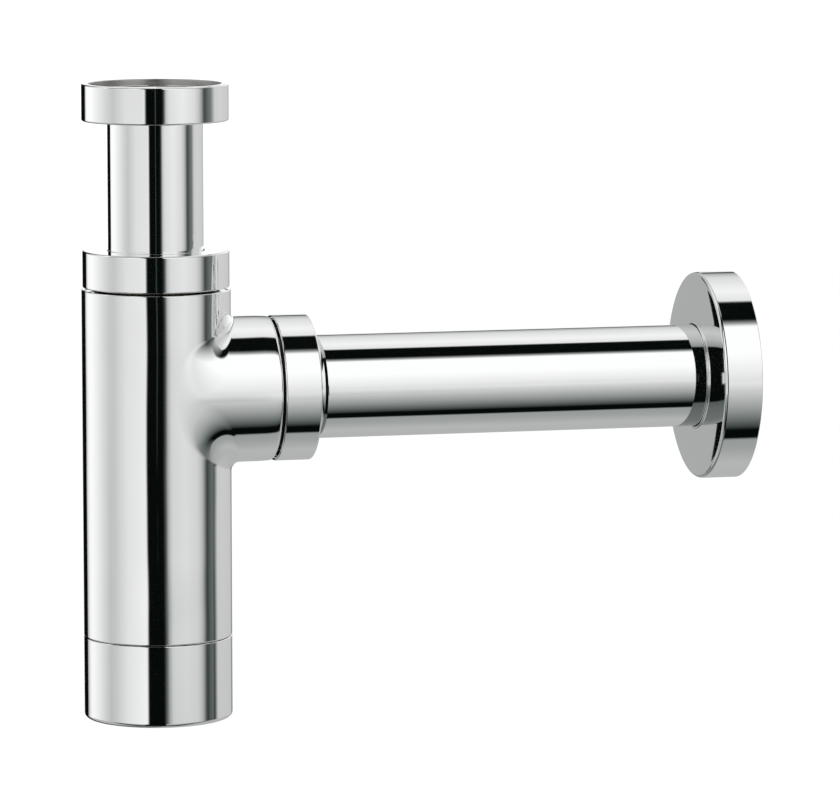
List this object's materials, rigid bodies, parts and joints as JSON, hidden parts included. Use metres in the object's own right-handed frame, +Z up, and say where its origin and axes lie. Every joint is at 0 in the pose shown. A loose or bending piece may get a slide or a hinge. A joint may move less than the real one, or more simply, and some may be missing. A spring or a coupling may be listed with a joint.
{
  "type": "bottle trap",
  "caption": "Chromed basin waste trap: upright bottle with screwed cap, slip-jointed inlet and outlet tubes and a sliding wall flange.",
  "frame": {"origin": "centre of the sealing face in the inlet nut, where the end of the basin waste seats", "axes": "+Z up along the bottle's axis, +X along the outlet tube towards the wall"},
  "size_m": [0.232, 0.071, 0.214],
  "materials": {
    "bottle": "polished chrome plate on brass",
    "cap": "polished chrome plate on brass",
    "nut": "polished chrome plate on turned brass",
    "tube": "polished chrome plate on brass tube",
    "flange": "polished chrome plate on pressed metal",
    "rubber": "matt black moulded rubber",
    "plastic": "natural white polypropylene, as moulded"
  },
  "bodies": {
    "trap_body": {"body": "bottle", "dip_tube": "plastic", "dip_tube_o_ring": "rubber", "outlet_cone_seal": "rubber"},
    "inlet_seal": {"top_cone_seal": "rubber"},
    "inlet_pipe": {"inlet_tube": "tube", "inlet_gasket": "rubber"},
    "inlet_ring": {"inlet_slip_ring": "plastic"},
    "inlet_nut": {"inlet_nut": "nut"},
    "top_ring": {"top_slip_ring": "plastic"},
    "top_nut": {"top_nut": "nut"},
    "cap_ring": {"cap_gasket": "rubber"},
    "cap": {"bottom_cap": "cap"},
    "outlet_ring": {"outlet_slip_ring": "plastic"},
    "outlet_nut": {"outlet_nut": "nut"},
    "outlet_pipe": {"outlet_tube": "tube"},
    "flange": {"wall_flange": "flange", "flange_grip_ring": "rubber"}
  },
  "joints": [
    {"name": "inlet_swivel", "type": "hinge", "parent": "trap_body", "child": "inlet_seal", "pos_m": [0, 0, -0.05], "axis": [0, 0, 1], "continuous": true},
    {"name": "inlet_height", "type": "slide", "parent": "inlet_seal", "child": "inlet_pipe", "axis": [0, 0, 1], "range_m": [-0.02, 0.03]},
    {"name": "inlet_ring_slide", "type": "slide", "parent": "inlet_pipe", "child": "inlet_ring", "axis": [0, 0, 1], "range_m": [-0.013, 0]},
    {"name": "inlet_nut_turn", "type": "hinge", "parent": "inlet_ring", "child": "inlet_nut", "pos_m": [0, 0, 0], "axis": [0, 0, 1], "continuous": true},
    {"name": "top_ring_slide", "type": "slide", "parent": "trap_body", "child": "top_ring", "axis": [0, 0, 1], "range_m": [0, 0.00924]},
    {"name": "top_nut_turn", "type": "hinge", "parent": "top_ring", "child": "top_nut", "pos_m": [0, 0, -0.055], "axis": [0, 0, 1], "range_deg": [0, 1440]},
    {"name": "cap_ring_slide", "type": "slide", "parent": "trap_body", "child": "cap_ring", "axis": [0, 0, -1], "range_m": [0, 0.00924]},
    {"name": "cap_turn", "type": "hinge", "parent": "cap_ring", "child": "cap", "pos_m": [0, 0, -0.19], "axis": [0, 0, -1], "range_deg": [0, 1440]},
    {"name": "outlet_ring_slide", "type": "slide", "parent": "trap_body", "child": "outlet_ring", "axis": [1, 0, 0], "range_m": [0, 0.00924]},
    {"name": "outlet_nut_turn", "type": "hinge", "parent": "outlet_ring", "child": "outlet_nut", "pos_m": [0.045, 0, -0.0962], "axis": [1, 0, 0], "range_deg": [0, 1440]},
    {"name": "outlet_reach", "type": "slide", "parent": "outlet_ring", "child": "outlet_pipe", "axis": [1, 0, 0], "range_m": [0, 0.01]},
    {"name": "flange_slide", "type": "slide", "parent": "outlet_pipe", "child": "flange", "axis": [1, 0, 0], "range_m": [-0.12, 0]}
  ],
  "couplings": [
    {"joint": "top_ring_slide", "follows": "top_nut_turn", "m_per_rad": 0.0003675},
    {"joint": "cap_ring_slide", "follows": "cap_turn", "m_per_rad": 0.0003675},
    {"joint": "outlet_ring_slide", "follows": "outlet_nut_turn", "m_per_rad": 0.0003675}
  ]
}
